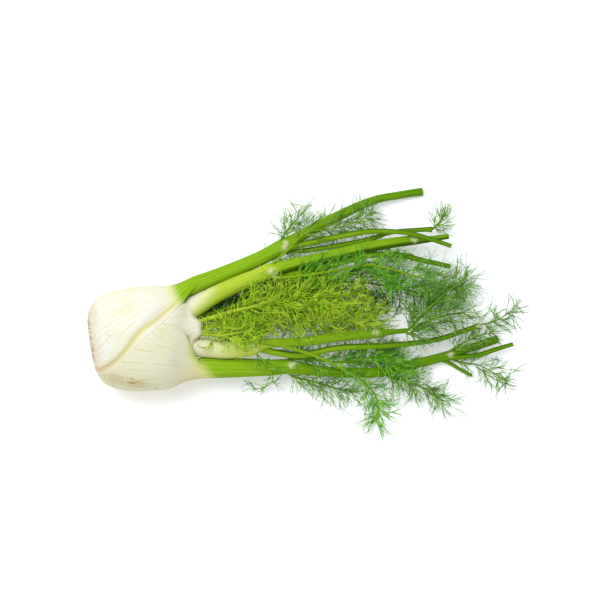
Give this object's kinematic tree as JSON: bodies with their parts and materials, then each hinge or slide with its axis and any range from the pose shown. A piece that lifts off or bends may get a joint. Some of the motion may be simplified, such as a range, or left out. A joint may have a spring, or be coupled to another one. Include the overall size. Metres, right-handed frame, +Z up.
{
  "type": "fennel bulb",
  "caption": "Florence fennel lying on its side: a flattened pale bulb of wrapped leaf bases, green ribbed stalks and feathery fronds.",
  "frame": {"origin": "middle of the flat spot on the belly that the bulb lies on", "axes": "+X from the cut base towards the stalk tips, +Y towards the upper stalk in the picture, +Z up from the surface it lies on"},
  "size_m": [0.3952, 0.2251, 0.0671],
  "materials": {
    "cut_root": "dry cut root stub, tan to brown",
    "pale_heart": "satin, pale cream-white leaf base",
    "pale_sheath": "satin, cream-white with fine pale green ribs",
    "green_stalk": "satin, ribbed yellow-green stalk",
    "frond_light": "satin, young yellow-green threads",
    "frond_dark": "satin, dark green threads"
  },
  "bodies": {
    "root": {"root_plate": "cut_root", "heart": "pale_heart", "sheath_upper": "pale_sheath", "sheath_lower": "pale_sheath", "stalk_upper": "green_stalk", "stalk_middle": "green_stalk", "stalk_inner": "green_stalk", "stalk_lower": "green_stalk", "frond_cross_over": "frond_dark", "frond_low_left": "frond_dark", "frond_low_long": "frond_dark", "frond_low_right": "frond_dark", "frond_low_small": "frond_light", "frond_low_thin": "frond_dark", "frond_middle_long": "frond_dark", "frond_middle_low": "frond_dark", "frond_right_lower": "frond_dark", "frond_right_upper": "frond_dark", "frond_tip_lower": "frond_dark", "frond_tip_middle": "frond_dark", "frond_tip_upper": "frond_dark", "frond_upper_edge": "frond_dark", "frond_upper_tip": "frond_dark", "frond_young_middle": "frond_light", "frond_young_short": "frond_light", "frond_young_under": "frond_light", "frond_young_upper": "frond_light"}
  },
  "joints": []
}
